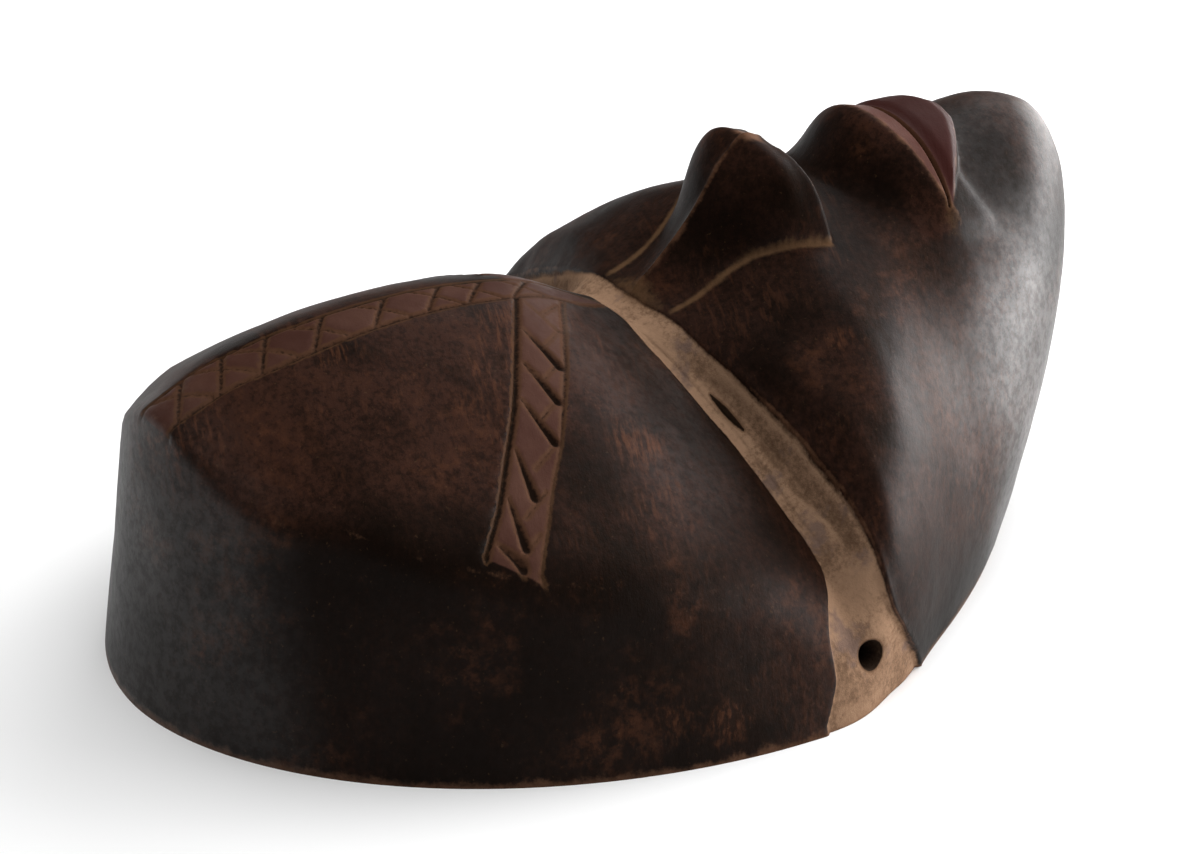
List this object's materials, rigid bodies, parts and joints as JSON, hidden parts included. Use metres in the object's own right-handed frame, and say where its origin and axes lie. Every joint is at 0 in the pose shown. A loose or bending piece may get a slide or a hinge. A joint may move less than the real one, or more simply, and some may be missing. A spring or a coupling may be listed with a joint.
{
  "type": "dan mask",
  "caption": "Oval wooden face mask with keeled forehead, narrow pierced eye slits, raised nose and muzzle, temple tie holes and a hollowed back, lying on its flat rim",
  "frame": {"origin": "middle of the bottom of the box around the mask, in the plane of its flat rim", "axes": "+Z out through the face, away from the rim plane; +Y from the chin to the crown; +X to the mask's own left cheek"},
  "size_m": [0.1658, 0.2296, 0.0923],
  "materials": {
    "carved_wood": "dark stained and rubbed hardwood with an oiled sheen; red-brown bands and lips and a pale eye band"
  },
  "bodies": {
    "root": {"mask": "carved_wood"}
  },
  "joints": []
}
